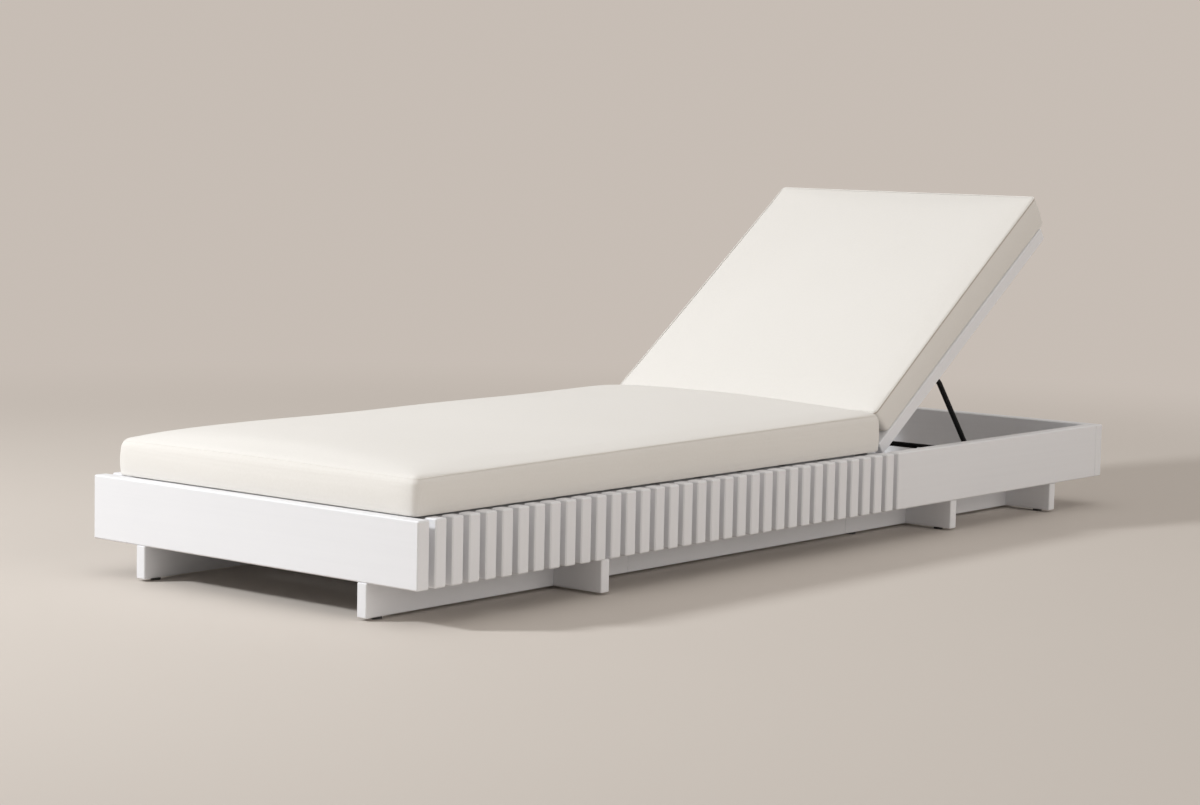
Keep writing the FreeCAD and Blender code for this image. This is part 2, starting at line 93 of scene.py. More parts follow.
class ShaderGraph:
    """A material's node tree with short calls to add and join nodes."""

    def __init__(self, name: str) -> None:
        """Starts an empty material with one principled shader.

        Args:
            name: the material's name.
        """
        self.material = bpy.data.materials.new(name)
        self.material.use_nodes = True
        self.tree = self.material.node_tree
        self.shader = next(n for n in self.tree.nodes if n.type == "BSDF_PRINCIPLED")

    def add(self, kind: str, inputs: dict[str | int, Any] | None = None, **settings: Any) -> bpy.types.Node:
        """Adds a node.

        Args:
            kind: the node's type name.
            inputs: socket name or number to a value, or to an output socket to link from.
            settings: the node's own properties.

        Returns:
            The new node.
        """
        node = self.tree.nodes.new(kind)
        for key, value in settings.items():
            setattr(node, key, value)
        for key, value in (inputs or {}).items():
            self.feed(node, key, value)
        return node

    def feed(self, node: bpy.types.Node, key: str | int, value: Any) -> None:
        """Sets one input of a node, or links an output socket to it."""
        socket = node.inputs[key]
        if isinstance(value, bpy.types.NodeSocket):
            self.tree.links.new(value, socket)
        else:
            socket.default_value = value

    def surface(self, **inputs: Any) -> None:
        """Sets the principled shader's inputs, with underscores for the spaces in their names."""
        for key, value in inputs.items():
            self.feed(self.shader, key.replace("_", " "), value)

    def math(self, operation: str, first: Any, second: Any = 0.0, third: Any = 0.0) -> bpy.types.NodeSocket:
        """Adds a Math node of up to three inputs and returns its output."""
        inputs = {0: first, 1: second, 2: third}
        return self.add("ShaderNodeMath", inputs, operation=operation).outputs[0]

    def coordinates(self, turn: float, stretch: tuple[float, float, float]) -> bpy.types.NodeSocket:
        """Object coordinates turned about X and then stretched.

        Args:
            turn: the angle about X, in radians.
            stretch: the scale along each axis.

        Returns:
            The vector output.
        """
        place = self.add("ShaderNodeTexCoord").outputs["Object"]
        turned = self.add("ShaderNodeMapping", {"Vector": place, "Rotation": (turn, 0.0, 0.0)})
        stretched = self.add("ShaderNodeMapping", {"Vector": turned.outputs[0], "Scale": stretch})
        return stretched.outputs[0]

    def noise(self, vector: bpy.types.NodeSocket, scale: float, detail: float = 3.0) -> bpy.types.NodeSocket:
        """Adds a noise texture and returns its grey output."""
        inputs = {"Vector": vector, "Scale": scale, "Detail": detail}
        return self.add("ShaderNodeTexNoise", inputs).outputs[0]

    def blend(self, share: Any, first: Any, second: Any) -> bpy.types.NodeSocket:
        """Mixes two colours, each a triple or an output socket, by a share and returns the colour output."""
        mix = self.add("ShaderNodeMix", data_type="RGBA")
        self.feed(mix, MIX_SHARE, share)
        for key, colour in ((MIX_FIRST, first), (MIX_SECOND, second)):
            self.feed(mix, key, (*colour, 1.0) if isinstance(colour, tuple) else colour)
        return mix.outputs[MIX_COLOUR]

    def bump(self, height: Any, strength: float, distance: float, below: Any = None) -> bpy.types.NodeSocket:
        """Adds a bump of a height in metres, on top of another bump if one is given.

        Args:
            height: the grey output that is the relief.
            strength: how much of it shows.
            distance: the relief's depth in metres.
            below: the normal output of a bump underneath.

        Returns:
            The normal output.
        """
        inputs = {"Height": height, "Strength": strength, "Distance": distance}
        node = self.add("ShaderNodeBump", inputs)
        if below is not None:
            self.feed(node, "Normal", below)
        return node.outputs[0]


@dataclass(frozen=True)
class SatinPaint:
    """Brushed satin white paint on planed timber."""

    pale: tuple[float, float, float] = (0.83, 0.835, 0.855)
    deep: tuple[float, float, float] = (0.775, 0.78, 0.80)
    streak_length: float = 2.2
    streak_fineness: float = 170.0
    streak_detail: float = 4.0
    streak_depth: float = 0.00012
    streak_strength: float = 0.5
    cloud_scale: float = 5.0
    soft_detail: float = 2.0
    peel_scale: float = 420.0
    peel_depth: float = 0.00005
    peel_strength: float = 0.35
    roughness_low: float = 0.34
    roughness_high: float = 0.5

    def material(self, grain: Grain, tilt: float) -> bpy.types.Material:
        """Makes the paint with its streaks along one line.

        Args:
            grain: which way the streaks run.
            tilt: the back's angle at rest, in radians.

        Returns:
            The material.
        """
        graph = ShaderGraph("satin_paint_" + grain.value)
        long, fine = self.streak_length, self.streak_fineness
        stretches = {
            Grain.ACROSS: (long, fine, fine),
            Grain.ALONG: (fine, long, fine),
            Grain.UP: (fine, fine, long),
            Grain.BACK: (fine, long, fine),
        }
        turn = -tilt if grain is Grain.BACK else 0.0
        streak = graph.noise(graph.coordinates(turn, stretches[grain]), 1.0, self.streak_detail)
        plain = graph.coordinates(turn, PLAIN)
        cloud = graph.noise(plain, self.cloud_scale, self.soft_detail)
        share = graph.math("MULTIPLY", streak, cloud)
        span = self.roughness_high - self.roughness_low
        gloss = graph.math("MULTIPLY_ADD", streak, span, self.roughness_low)
        relief = graph.bump(streak, self.streak_strength, self.streak_depth)
        peel = graph.noise(plain, self.peel_scale, self.soft_detail)
        relief = graph.bump(peel, self.peel_strength, self.peel_depth, relief)
        graph.surface(Base_Color=graph.blend(share, self.pale, self.deep), Roughness=gloss, Normal=relief)
        return graph.material


@dataclass(frozen=True)
class Canvas:
    """Plain-woven off-white outdoor canvas."""

    pale: tuple[float, float, float] = (0.80, 0.777, 0.738)
    deep: tuple[float, float, float] = (0.74, 0.713, 0.668)
    # Painted shade: the colour that the seams darken towards, in place of the shadow in the seams' valleys
    seam_shade: tuple[float, float, float] = (0.42, 0.35, 0.29)
    thread_pitch: float = 0.0013
    thread_depth: float = 0.00012
    weave_strength: float = 0.35
    slub_scale: float = 260.0
    slub_strength: float = 0.25
    cloud_scale: float = 3.5
    cloud_detail: float = 2.0
    roughness: float = 0.92
    sheen: float = 0.12
    sheen_roughness: float = 0.5

    def material(self, name: str, turn: float, seam_shade_share: float) -> bpy.types.Material:
        """Makes the cloth with its threads along a cushion's own lines.

        The relief is the sum of one sine along each axis: on a flat face one of the three is constant,
        and the other two cross as warp and weft.

        Args:
            name: the material's name.
            turn: the cushion's tilt about X, in radians.
            seam_shade_share: how strongly painted shade darkens the cover's seams, from 0 to 1.

        Returns:
            The material.
        """
        graph = ShaderGraph(name)
        wave = 2.0 * math.pi / self.thread_pitch
        place = graph.coordinates(-turn, PLAIN)
        axes = graph.add("ShaderNodeSeparateXYZ", {0: place})
        waves = [graph.math("SINE", graph.math("MULTIPLY", axes.outputs[i], wave)) for i in range(3)]
        weave = graph.math("ADD", graph.math("ADD", waves[0], waves[1]), waves[2])
        slub = graph.noise(place, self.slub_scale)
        cloud = graph.noise(place, self.cloud_scale, self.cloud_detail)
        share = graph.math("MULTIPLY", slub, cloud)
        cloth = graph.blend(share, self.pale, self.deep)
        # Painted shade: the seam attribute darkens the cloth towards seam_shade along the seams, in place of
        # the shadow in their valleys
        seam = graph.add("ShaderNodeAttribute", attribute_name=SEAM_SHADE).outputs["Fac"]
        colour = graph.blend(graph.math("MULTIPLY", seam, seam_shade_share), cloth, self.seam_shade)
        relief = graph.bump(weave, self.weave_strength, self.thread_depth)
        relief = graph.bump(slub, self.slub_strength, self.thread_depth, relief)
        graph.surface(Base_Color=colour, Roughness=self.roughness, Normal=relief)
        graph.surface(Sheen_Weight=self.sheen, Sheen_Roughness=self.sheen_roughness)
        return graph.material


@dataclass(frozen=True)
class Metal:
    """Steel or plastic with a fine grain in its surface."""

    name: str
    pale: tuple[float, float, float]
    deep: tuple[float, float, float]
    metallic: float
    roughness_low: float
    roughness_high: float
    grain_scale: float
    grain_depth: float
    specular: float = 0.5
    grain_strength: float = 0.5
    cloud_share: float = 0.05
    cloud_detail: float = 2.0

    def material(self) -> bpy.types.Material:
        """Makes the finish: a speckled colour, an uneven gloss and a fine relief."""
        graph = ShaderGraph(self.name)
        place = graph.coordinates(0.0, PLAIN)
        speck = graph.noise(place, self.grain_scale)
        cloud = graph.noise(place, self.grain_scale * self.cloud_share, self.cloud_detail)
        span = self.roughness_high - self.roughness_low
        gloss = graph.math("MULTIPLY_ADD", cloud, span, self.roughness_low)
        relief = graph.bump(speck, self.grain_strength, self.grain_depth)
        colour = graph.blend(speck, self.pale, self.deep)
        graph.surface(Base_Color=colour, Metallic=self.metallic, Roughness=gloss, Normal=relief)
        graph.surface(Specular_IOR_Level=self.specular)
        return graph.material


POWDER_COAT = Metal(
    "black_powder_coat",
    pale=(0.004, 0.004, 0.0045),
    deep=(0.009, 0.009, 0.0095),
    metallic=0.0,
    roughness_low=0.42,
    roughness_high=0.56,
    grain_scale=900.0,
    grain_depth=0.00006,
    specular=0.15,
)
ZINC_PLATE = Metal(
    "zinc_plate",
    pale=(0.60, 0.60, 0.62),
    deep=(0.50, 0.50, 0.51),
    metallic=1.0,
    roughness_low=0.28,
    roughness_high=0.42,
    grain_scale=700.0,
    grain_depth=0.00004,
)
GLIDE_PLASTIC = Metal(
    "glide_plastic",
    pale=(0.022, 0.022, 0.022),
    deep=(0.04, 0.039, 0.038),
    metallic=0.0,
    roughness_low=0.5,
    roughness_high=0.65,
    grain_scale=500.0,
    grain_depth=0.00008,
)


def surface_mesh(name: str, points: np.ndarray, faces: np.ndarray) -> bpy.types.Object:
    """Makes a smooth-shaded mesh object at the origin.

    Args:
        name: the object's name.
        points: one row of three coordinates per point, in metres.
        faces: one row of four point numbers per face.

    Returns:
        The object, linked to the scene.
    """
    mesh = bpy.data.meshes.new(name)
    mesh.from_pydata(points.tolist(), [], faces.tolist())
    mesh.polygons.foreach_set("use_smooth", np.ones(len(mesh.polygons), dtype=bool))
    mesh.update()
    piece = bpy.data.objects.new(name, mesh)
    bpy.context.scene.collection.objects.link(piece)
    return piece


def grid_faces(numbers: np.ndarray) -> np.ndarray:
    """The quads of a grid of point numbers.

    Args:
        numbers: point numbers, rows by columns.

    Returns:
        One row of four point numbers per quad.
    """
    corners = (numbers[:-1, :-1], numbers[:-1, 1:], numbers[1:, 1:], numbers[1:, :-1])
    return np.stack([corner.ravel() for corner in corners], axis=1)


def border(numbers: np.ndarray) -> np.ndarray:
    """The outer point numbers of a grid, once round it and each only once.

    Args:
        numbers: point numbers, rows by columns.

    Returns:
        The outer numbers in order.
    """
    sides = (numbers[0, :-1], numbers[:-1, -1], numbers[-1, :0:-1], numbers[:0:-1, 0])
    return np.concatenate(sides)


def moved(points: np.ndarray, place: Matrix) -> np.ndarray:
    """Points carried by a 4 by 4 matrix.

    Args:
        points: one row of three coordinates per point.
        place: the matrix.

    Returns:
        The carried points.
    """
    matrix = np.array(place)
    return points @ matrix[:3, :3].T + matrix[:3, 3]


def node_points(node: bpy.types.Object) -> np.ndarray:
    """A mesh object's points, one row of three coordinates each."""
    flat = np.zeros(len(node.data.vertices) * 3, np.float32)
    node.data.vertices.foreach_get("co", flat)
    return flat.reshape(-1, 3).astype(float)


def dress(piece: bpy.types.Object, material: bpy.types.Material) -> None:
    """Gives a piece one material."""
    piece.data.materials.clear()
    piece.data.materials.append(material)


def facing(way: Vector) -> Euler:
    """The turn that points a lamp along a way."""
    return way.to_track_quat("-Z", "Y").to_euler()


@dataclass
class Cushion:
    """A loose box cushion: two panels and a boxing strip, sewn along two seams with a fine welt.

    It is drawn lying flat and carried to its place by a matrix. Sizes are in metres.

    Attributes:
        name: the cover's name, which also starts the welts' names.
        node: the construction node that the cushion stands for.
        body: the body that it rides on.
        place: carries the cushion from lying flat to its place.
        turn: the angle of that place about X, in radians.
        lean: how far the foot end's upper edge leans forward.
        lean_power: how fast the lean fades along the cushion.
        foot_reach, head_reach: how far the ends go past the construction's own.
        cell: the grid's pitch in the middle of a panel.
        edge_lines: the grid lines' distances in from a seam.
        corner_radius, top_radius, low_radius: the roundings in plan, of the upper and of the lower edges.
        seam_angle: how far up an edge's rounding its seam lies, in radians.
        arc_rows, side_rows: rows of the boxing strip in each rounding and in the wall between.
        side_bulge: how far the wall swells out.
        draw_in, end_draw: how far the long sides pull in between the corners, and the ends' share of it.
        crown: how high the top swells, and the powers with which it falls off: crown_power to the left,
            right_power to the right and end_power to both ends.
        waviness, wave_edge: the height of the top's faint waves, and how far in from the seam they grow.
        pressure, frames: the cloth simulation's air pressure and its length.
        cloth_quality, cloth_mass, stretch_stiffness, bend_stiffness: the simulated cover.
        swell_cap: about the most that the simulation moves a point.
        welt_radius, welt_lift, welt_sides: the welt's size, how proud it stands, and its facets.
        pinch: how deep a seam is drawn into the cover.
        seam_rows: rows of the strip below the upper seam that share the seam's painted shade.
        seam_shade_share, end_seam: how strongly painted shade darkens the seams, and the share of it that is
            left along the ends.
        end_zone, side_zone: where the construction's ends and sides are measured.
    """

    name: str
    node: str
    body: str
    place: Matrix
    turn: float
    lean: float = 0.0
    lean_power: int = 4
    foot_reach: float = 0.0
    head_reach: float = 0.0
    cell: float = 0.012
    edge_lines: tuple[float, ...] = (0.0, 0.0015, 0.0035, 0.006, 0.010)
    corner_radius: float = 0.018
    top_radius: float = 0.017
    low_radius: float = 0.004
    seam_angle: float = math.radians(48.0)
    arc_rows: int = 4
    side_rows: int = 7
    side_bulge: float = 0.0015
    draw_in: float = 0.0015
    end_draw: float = 0.5
    crown: float = 0.008
    crown_power: float = 4.0
    right_power: float = 1.6
    end_power: int = 14
    waviness: float = 0.0007
    wave_edge: float = 0.05
    pressure: float = 2.5
    frames: int = 14
    cloth_quality: int = 6
    cloth_mass: float = 0.3
    stretch_stiffness: float = 18.0
    bend_stiffness: float = 2.0
    swell_cap: float = 0.003
    welt_radius: float = 0.0010
    welt_lift: float = -0.0009
    welt_sides: int = 10
    pinch: float = 0.0006
    seam_rows: int = 0
    seam_shade_share: float = 0.35
    end_seam: float = 1.0
    end_zone: float = 0.05
    side_zone: float = 0.010

    def measure(self, nodes: dict[str, bpy.types.Object]) -> None:
        """Reads the room that the construction keeps for the cushion, with the cushion lying flat.

        Args:
            nodes: the construction nodes by name.
        """
        points = moved(node_points(nodes[self.node]), self.place.inverted())
        self.low = points.min(axis=0)
        self.high = points.max(axis=0)
        foot = points[points[:, 1] < self.low[1] + self.end_zone]
        head = points[points[:, 1] > self.high[1] - self.end_zone]
        self.low[1] -= self.foot_reach
        self.high[1] += self.head_reach
        self.half = (self.high - self.low)[:2] / 2 - self.side_bulge
        self.middle_y = (self.low[1] + self.high[1]) / 2
        self.head_share = head[:, 0].max() / foot[:, 0].max()
        self.top_foot = self.side_top(foot)
        self.top_head = self.side_top(head)

    def side_top(self, points: np.ndarray) -> float:
        """The height of the upper side edge among the points of one end."""
        beside = points[:, 0] > points[:, 0].max() - self.side_zone
        return float(points[beside, 2].max())

    def lines(self, half: float, full: float) -> np.ndarray:
        """Grid lines over one side of a panel: close together along the seam, even between.

        Args:
            half: half the panel's size on that side.
            full: half the cushion's size on that side, which sets the count.

        Returns:
            The lines' coordinates, from one seam to the other.
        """
        edge = np.array(self.edge_lines)
        inner = full - self.edge_lines[-1]
        count = int(2 * inner / self.cell) + 1
        between = np.linspace(-1.0, 1.0, count)[1:-1] * (half - self.edge_lines[-1])
        return np.concatenate([edge - half, between, half - edge[::-1]])

    def plan(self, inset: float) -> tuple[np.ndarray, np.ndarray, np.ndarray]:
        """The plan grid of a panel: a rectangle whose corner squares are drawn onto quarter discs.

        A point (p, q) of a corner square goes to (p, q) max(p, q) / hypot(p, q), so its outer sides
        become the arc. The sides then draw in by a parabola between the corners, and the width goes
        evenly to a share of itself at the head end.

        Args:
            inset: how far the panel's seam stands in from the cushion's side.

        Returns:
            Across and along coordinates and the distance in from the seam, each rows by columns.
        """
        half_x, half_y = self.half - inset
        radius = self.corner_radius - inset
        x, y = np.meshgrid(self.lines(half_x, self.half[0]), self.lines(half_y, self.half[1]))
        inward = np.minimum(half_x - np.abs(x), half_y - np.abs(y))
        p = np.clip(np.abs(x) - (half_x - radius), 0.0, None)
        q = np.clip(np.abs(y) - (half_y - radius), 0.0, None)
        reach = np.hypot(p, q)
        shrink = np.where(reach > 0, np.maximum(p, q) / np.maximum(reach, TINY), 1.0)
        x = np.sign(x) * (np.minimum(np.abs(x), half_x - radius) + p * shrink)
        y = np.sign(y) * (np.minimum(np.abs(y), half_y - radius) + q * shrink)
        pull_x = 1.0 - self.draw_in / half_x * (1.0 - (y / half_y) ** 2)
        pull_y = 1.0 - self.end_draw * self.draw_in / half_y * (1.0 - (x / half_x) ** 2)
        taper = 1.0 + (self.head_share - 1.0) * (y + half_y) / (2.0 * half_y)
        return x * pull_x * taper, y * pull_y, inward

    def top_level(self, y: np.ndarray) -> np.ndarray:
        """The flat height of the top at a place along the cushion: an even taper from foot to head."""
        share = (y + self.half[1]) / (2 * self.half[1])
        return self.top_foot + (self.top_head - self.top_foot) * share

    def top_height(self, x: np.ndarray, y: np.ndarray, inward: np.ndarray) -> np.ndarray:
        """The top panel's height: the rest of the edge's arc, then a flat crown with a faint waviness.

        The arc goes on from the seam to the top. The crown falls off with a power of the share across,
        one for each side, and with another of the share along. The waviness is three crossing sines.

        Args:
            x: across coordinates.
            y: along coordinates.
            inward: distances in from the seam.

        Returns:
            Heights of the same shape.
        """
        run = self.top_radius * math.cos(self.seam_angle)
        short = np.clip(run - inward, 0.0, None)
        arc = np.sqrt(self.top_radius**2 - short**2) - self.top_radius
        across = x / self.half[0]
        along = y / self.half[1]
        power = np.where(across > 0.0, self.right_power, self.crown_power)
        dome = self.crown * (1.0 - np.abs(across) ** power) * (1.0 - along**self.end_power)
        waves = sum(np.sin(rate_x * x + rate_y * y + start) for rate_x, rate_y, start in WAVES)
        fade = np.clip(inward / self.wave_edge, 0.0, 1.0)
        return self.top_level(y) + arc + dome + self.waviness * fade * waves

    def strip_profile(self) -> tuple[np.ndarray, np.ndarray, np.ndarray]:
        """The boxing strip from the bottom seam to the top seam: an arc, a bulging wall and an arc.

        Returns:
            For each row: the offset out of the side, the height above the bottom in a share of the
            wall between the arcs, and the height that belongs to the arcs, in metres.
        """
        low_turn = np.linspace(-self.seam_angle, 0.0, self.arc_rows + 1)[1:]
        wall = np.linspace(0.0, 1.0, self.side_rows + 2)[1:-1]
        top_turn = np.linspace(0.0, self.seam_angle, self.arc_rows + 1)[:-1]
        low_out = -self.low_radius * (1.0 - np.cos(low_turn))
        wall_out = self.side_bulge * (1.0 - (2.0 * wall - 1.0) ** 2)
        top_out = -self.top_radius * (1.0 - np.cos(top_turn))
        out = np.concatenate([low_out, wall_out, top_out])
        share = np.concatenate([np.zeros_like(low_turn), wall, np.ones_like(top_turn)])
        low_arc = self.low_radius * (1.0 + np.sin(low_turn))
        wall_arc = np.full_like(wall, self.low_radius)
        top_arc = self.low_radius + self.top_radius * np.sin(top_turn)
        return out, share, np.concatenate([low_arc, wall_arc, top_arc])

    def outward(self, ring: np.ndarray) -> np.ndarray:
        """The level direction out of a closed seam at each of its points."""
        ahead = np.roll(ring, -1, axis=0) - np.roll(ring, 1, axis=0)
        side = np.stack([ahead[:, 1], -ahead[:, 0], np.zeros(len(ring))], axis=1)
        return side / np.linalg.norm(side, axis=1)[:, None]

    def proud(self, ring: np.ndarray, lift: float) -> np.ndarray:
        """The direction in which a seam stands out of the cover: outwards, and up or down by lift."""
        level = np.array([0.0, 0.0, lift * math.sin(self.seam_angle)])
        return self.outward(ring) * math.cos(self.seam_angle) + level

    def top_panel(self) -> np.ndarray:
        """The top panel's points, rows by columns."""
        drop = 1.0 - math.cos(self.seam_angle)
        x, y, inward = self.plan(self.top_radius * drop)
        return np.stack([x, y, self.top_height(x, y, inward)], axis=-1)

    def bottom_panel(self) -> np.ndarray:
        """The bottom panel's points, rows by columns: flat, with the rest of the lower edge's arc."""
        drop = 1.0 - math.cos(self.seam_angle)
        x, y, inward = self.plan(self.low_radius * drop)
        run = self.low_radius * math.cos(self.seam_angle)
        short = np.clip(run - inward, 0.0, None)
        sole = self.low[2] + self.low_radius - np.sqrt(self.low_radius**2 - short**2)
        return np.stack([x, y, sole], axis=-1)

    def boxing_strip(self, side: np.ndarray) -> np.ndarray:
        """The boxing strip between the seams: its profile carried round the cushion's side.

        Args:
            side: the side's points in plan, once round.

        Returns:
            Points, profile rows from the bottom up by places round the side.
        """
        out, share, arc = self.strip_profile()
        strip = side[None] + self.outward(side)[None] * out[:, None, None]
        wall = self.top_level(side[:, 1]) - self.low[2] - self.low_radius - self.top_radius
        strip[:, :, 2] = self.low[2] + arc[:, None] + share[:, None] * wall[None]
        return strip

    def build(self) -> bpy.types.Object:
        """Builds the closed cushion: both panels and the boxing strip, joined along the two seams.

        Returns:
            The cushion, in its place.
        """
        top = self.top_panel()
        count = top.shape[0] * top.shape[1]
        numbers = np.arange(count).reshape(top.shape[:2])
        ring = border(numbers)
        x, y, _ = self.plan(0.0)
        side = np.stack([x, y, np.zeros_like(x)], axis=-1).reshape(-1, 3)[ring]
        strip = self.boxing_strip(side)
        strip_numbers = 2 * count + np.arange(strip.shape[0] * len(ring)).reshape(strip.shape[:2])
        band = np.concatenate([ring[None] + count, strip_numbers, ring[None]])
        band = np.concatenate([band, band[:, :1]], axis=1)
        points = np.concatenate([part.reshape(-1, 3) for part in (top, self.bottom_panel(), strip)])
        faces = (grid_faces(numbers), grid_faces(numbers + count)[:, ::-1], grid_faces(band))
        piece = surface_mesh(self.name, points, np.concatenate(faces))
        self.seams = np.concatenate([ring, ring + count])
        self.weight = 1.0 - (1.0 - self.end_seam) * np.abs(self.outward(side)[:, 1])
        self.shade_seams(piece, strip_numbers[strip.shape[0] - self.seam_rows:])
        self.inflate(piece)
        self.settle(piece)
        smooth = piece.modifiers.new("smooth", "SUBSURF")
        smooth.levels = 1
        smooth.render_levels = 1
        return piece

    def shade_seams(self, piece: bpy.types.Object, beside: np.ndarray) -> None:
        """Writes the attribute that paints shade along the seams.

        Args:
            piece: the cushion.
            beside: numbers of the strip's points that share the upper seam's painted shade, rows by places.
        """
        # Painted shade: 1 along the seams, less along the ends, which the cloth material darkens towards
        # seam_shade
        line = np.zeros(len(piece.data.vertices), np.float32)
        line[self.seams] = np.tile(self.weight, 2)
        line[beside] = self.weight
        piece.data.attributes.new(SEAM_SHADE, "FLOAT", "POINT").data.foreach_set("value", line)

    def settle(self, piece: bpy.types.Object) -> None:
        """Leans the cushion, keeps its seam lines for the welts, pinches them, and puts it in its place.

        Args:
            piece: the cushion, lying flat.
        """
        flat = self.leaned(node_points(piece))
        upper, lower = np.split(self.seams, 2)
        self.ring_top = flat[upper]
        self.ring_bottom = flat[lower]
        pinch = self.pinch * self.weight[:, None]
        flat[upper] -= self.proud(self.ring_top, 1.0) * pinch
        flat[lower] -= self.proud(self.ring_bottom, -1.0) * pinch
        piece.data.vertices.foreach_set("co", moved(flat, self.place).astype(np.float32).ravel())
        piece.data.update()

    def leaned(self, points: np.ndarray) -> np.ndarray:
        """Moves the cushion along to its place, with its foot end leaning forward towards the top.

        The lean grows with the height and with a power of the nearness to that end.

        Args:
            points: the cushion's points about its middle.

        Returns:
            The moved points, still lying flat.
        """
        share = (points[:, 1] + self.half[1]) / (2 * self.half[1])
        near = np.clip(1.0 - share, 0.0, 1.0) ** self.lean_power
        height = (points[:, 2] - self.low[2]) / (self.top_foot - self.low[2])
        carried = points.copy()
        carried[:, 1] += self.middle_y - self.lean * height * near
        return carried

    def inflate(self, piece: bpy.types.Object) -> None:
        """Swells the cover by a cloth simulation held at its seams, and keeps each point near its start.

        A move is shortened to the cap times the hyperbolic tangent of its length over the cap.

        Args:
            piece: the cushion, lying flat.
        """
        scene = bpy.context.scene
        held = piece.vertex_groups.new(name="seams")
        held.add(self.seams.tolist(), 1.0, "REPLACE")
        cloth = piece.modifiers.new("cover", "CLOTH")
        settings = cloth.settings
        settings.quality = self.cloth_quality
        settings.mass = self.cloth_mass
        settings.tension_stiffness = self.stretch_stiffness
        settings.compression_stiffness = self.stretch_stiffness
        settings.bending_stiffness = self.bend_stiffness
        settings.vertex_group_mass = held.name
        settings.use_pressure = True
        settings.uniform_pressure_force = self.pressure
        settings.effector_weights.gravity = 0.0
        cloth.point_cache.frame_start = 1
        cloth.point_cache.frame_end = self.frames
        start = node_points(piece)
        for number in range(1, self.frames + 1):
            scene.frame_set(number)
        swollen = piece.evaluated_get(bpy.context.evaluated_depsgraph_get())
        move = node_points(swollen) - start
        piece.modifiers.remove(cloth)
        piece.vertex_groups.remove(held)
        scene.frame_set(1)
        length = np.linalg.norm(move, axis=1)[:, None]
        short = self.swell_cap * np.tanh(length / self.swell_cap)
        kept = start + move * (short / np.maximum(length, TINY))
        kept[:, 2] = np.maximum(kept[:, 2], self.low[2])
        piece.data.vertices.foreach_set("co", kept.astype(np.float32).ravel())

    def welt(self, name: str, ring: np.ndarray, lift: float) -> bpy.types.Object:
        """A fine corded welt: a small circle carried round a closed seam, half sunk in the cover.

        Args:
            name: the piece's name.
            ring: the seam's points, with the cushion lying flat.
            lift: 1 for a seam on an upper edge, -1 for one on a lower edge.

        Returns:
            The welt, in its place.
        """
        out = self.outward(ring)
        level = np.array([0.0, 0.0, 1.0])
        angles = np.linspace(0.0, 2 * math.pi, self.welt_sides, endpoint=False)
        centre = ring + self.proud(ring, lift) * self.welt_lift
        circle = np.cos(angles)[None, :, None] * out[:, None] + np.sin(angles)[None, :, None] * level
        points = centre[:, None] + circle * self.welt_radius
        numbers = np.arange(points.shape[0] * points.shape[1]).reshape(points.shape[:2])
        numbers = np.concatenate([numbers, numbers[:1]])
        numbers = np.concatenate([numbers, numbers[:, :1]], axis=1)
        return surface_mesh(name, moved(points.reshape(-1, 3), self.place), grid_faces(numbers))

    def assemble(self, nodes: dict[str, bpy.types.Object], canvas: Canvas) -> None:
        """Builds and dresses the cushion and its two welts, attaches them to the body, and hides the
        construction node.

        Args:
            nodes: the construction nodes by name.
            canvas: the cover's finish.
        """
        self.measure(nodes)
        material = canvas.material(self.name + "_canvas", self.turn, self.seam_shade_share)
        cover = self.build()
        welts = [self.welt(self.name + "_top_welt", self.ring_top, 1.0)]
        welts.append(self.welt(self.name + "_bottom_welt", self.ring_bottom, -1.0))
        for piece in (cover, *welts):
            dress(piece, material)
            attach(piece, self.body)
            LOG.info("%s: %d points on %s", piece.name, len(piece.data.vertices), self.body)
        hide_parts(self.node)


@dataclass
class Joinery:
    """The painted timber, whose shapes are the construction's own."""

    tilt: float
    paint: SatinPaint = SatinPaint()

    def grain(self, node: str) -> Grain:
        """Which way a board's brush streaks run.

        Args:
            node: the construction node's name.

        Returns:
            The grain line.
        """
        if node.startswith("back_stile"):
            return Grain.BACK
        if node.startswith(("side_slats", "corner_blocks")):
            return Grain.UP
        if node.startswith(("side_", "seat_ledger", "head_ledger", "runner_", "notched_")):
            return Grain.ALONG
        return Grain.ACROSS

    def dress(self, nodes: dict[str, bpy.types.Object], names: list[str]) -> None:
        """Paints the boards.

        Args:
            nodes: the construction nodes by name.
            names: the boards' names.
        """
        coats = {grain: self.paint.material(grain, self.tilt) for grain in Grain}
        for name in names:
            dress(nodes[name], coats[self.grain(name)])
        LOG.info("painted %d boards and slat groups", len(names))


@dataclass
class Hardware:
    """Stay, brackets, hinges, screws and glides, whose shapes are the construction's own."""

    def dress(self, nodes: dict[str, bpy.types.Object], slots: dict[str, str]) -> None:
        """Finishes each node by its material slot.

        Args:
            nodes: the construction nodes by name.
            slots: node name to slot name.
        """
        finishes = {"black_steel": POWDER_COAT, "zinc_steel": ZINC_PLATE, "black_plastic": GLIDE_PLASTIC}
        materials = {slot: finish.material() for slot, finish in finishes.items()}
        for name, slot in slots.items():
            if slot in materials:
                dress(nodes[name], materials[slot])
                LOG.info("%s: %s", name, slot)


@dataclass(frozen=True)
class Sun:
    """A far lamp: the way its light goes, how soft it is in degrees, and its strength."""

    name: str
    way: tuple[float, float, float]
    spread: float
    strength: float
    colour: tuple[float, float, float]


SIDE_SUN = Sun("side", (-1.0, -0.12, -0.22), 50.0, 0.86, (1.0, 0.955, 0.915))
TOP_SUN = Sun("top", (0.0, 0.0, -1.0), 70.0, 0.75, (1.0, 0.975, 0.95))


